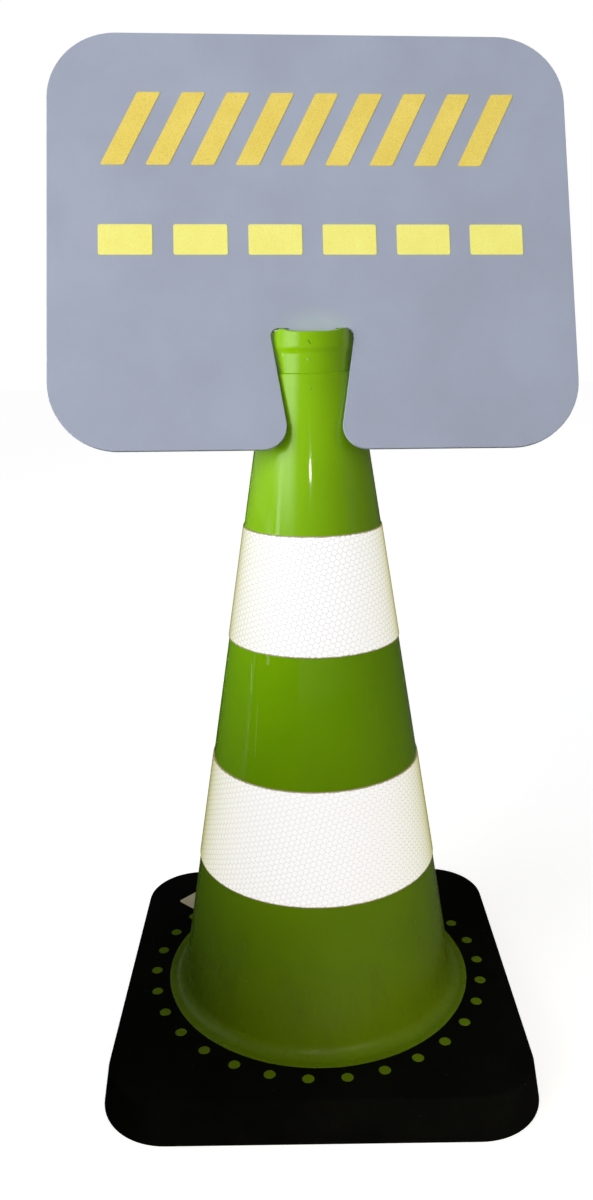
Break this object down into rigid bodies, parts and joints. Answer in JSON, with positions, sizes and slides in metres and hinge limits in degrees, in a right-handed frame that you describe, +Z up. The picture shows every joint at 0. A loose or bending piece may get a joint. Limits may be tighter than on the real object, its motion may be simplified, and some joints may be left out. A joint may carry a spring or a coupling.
{
  "type": "traffic cone with sign plate",
  "caption": "Hollow traffic cone with reflective sleeves in a heavy square base, with a slotted sign plate clipped over its rim and leaning back.",
  "frame": {"origin": "on the ground under the middle of the base, on the cone's axis", "axes": "+Z up along the cone's axis; the sign plate faces -Y and leans back towards +Y"},
  "size_m": [0.3364, 0.2916, 0.6875],
  "materials": {
    "cone_green": "glossy moulded soft plastic",
    "base_black": "matt, dusty recycled rubbery plastic",
    "band_white": "white retroreflective film with a honeycomb of cells",
    "panel_grey": "satin, finely textured sheet",
    "film_yellow": "yellow reflective film with a fine grain",
    "sticker_pale": "plain pale film"
  },
  "bodies": {
    "cone": {"cone_shell": "cone_green", "cone_foot": "cone_green", "base_plate": "base_black", "upper_reflective_band": "band_white", "lower_reflective_band": "band_white", "base_sticker": "sticker_pale"},
    "sign": {"sign_panel": "panel_grey", "upper_film_row": "film_yellow", "lower_film_row": "film_yellow"}
  },
  "joints": [
    {"name": "sign_lift", "type": "slide", "parent": "cone", "child": "sign", "axis": [-0.0096, 0.1568, 0.9876], "range_m": [0, 0.1]}
  ]
}
